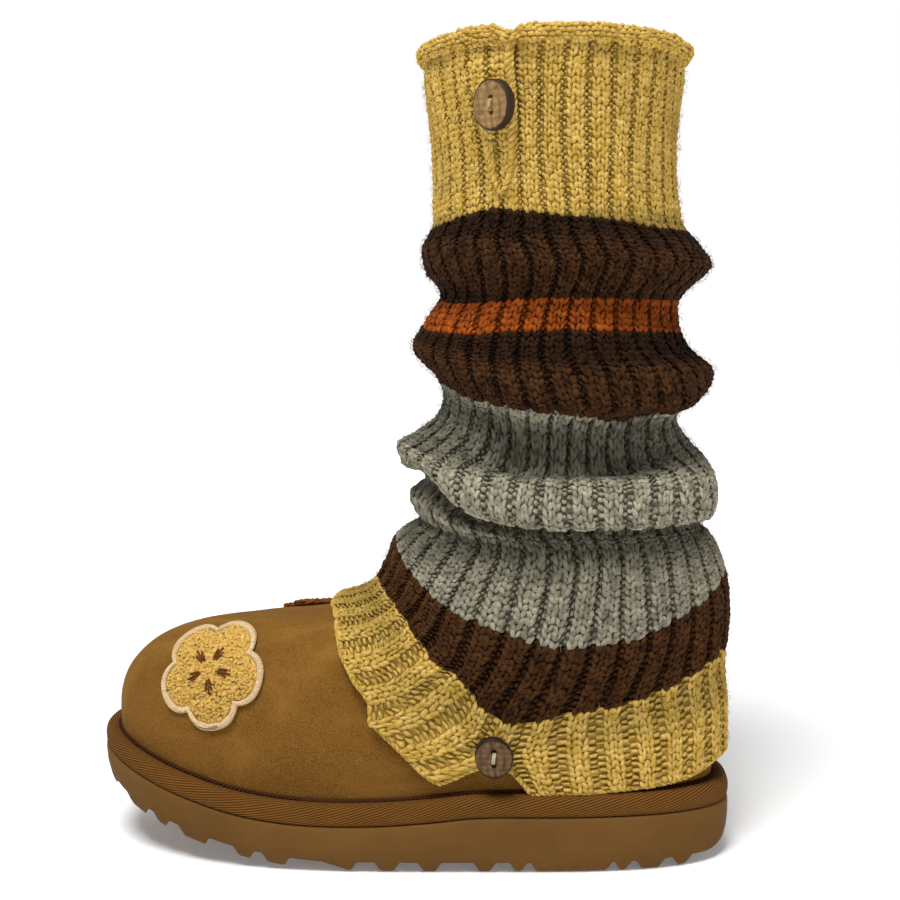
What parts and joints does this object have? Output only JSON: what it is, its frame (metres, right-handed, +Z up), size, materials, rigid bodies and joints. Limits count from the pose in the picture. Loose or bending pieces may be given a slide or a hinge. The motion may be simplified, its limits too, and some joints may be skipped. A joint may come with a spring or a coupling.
{
  "type": "sheepskin boot",
  "caption": "Low tan sheepskin boot on a lugged platform sole, with a tall ribbed knit shaft slouched in folds, buttoned at rim and hem, and a fleece flower patch.",
  "frame": {"origin": "centre of the part's box, on the floor that the sole stands on", "axes": "+X to the toe, +Y to the outer side of this left shoe, +Z up the shaft"},
  "size_m": [0.2874, 0.132, 0.357],
  "materials": {
    "sole_foam": "matte moulded foam rubber",
    "twill_tape": "woven twill binding tape",
    "tan_suede": "short napped suede",
    "footbed_fleece": "short wool pile",
    "rib_knit": "ribbed soft yarn in bands of mustard, brown, orange and grey",
    "light_wood": "plain sanded wood with a bark edge",
    "dark_wood": "stained wood with open grain",
    "gold_fleece": "curly looped fleece",
    "cream_cord": "satin corded edge",
    "brown_fleece": "curly looped fleece"
  },
  "bodies": {
    "root": {"outsole": "sole_foam", "welt": "twill_tape", "upper": "tan_suede", "insole": "footbed_fleece", "knit_shaft": "rib_knit", "button_top": "light_wood", "button_hem": "dark_wood", "toe_patch": "gold_fleece", "toe_patch_edge": "cream_cord", "instep_patch": "brown_fleece"}
  },
  "joints": []
}
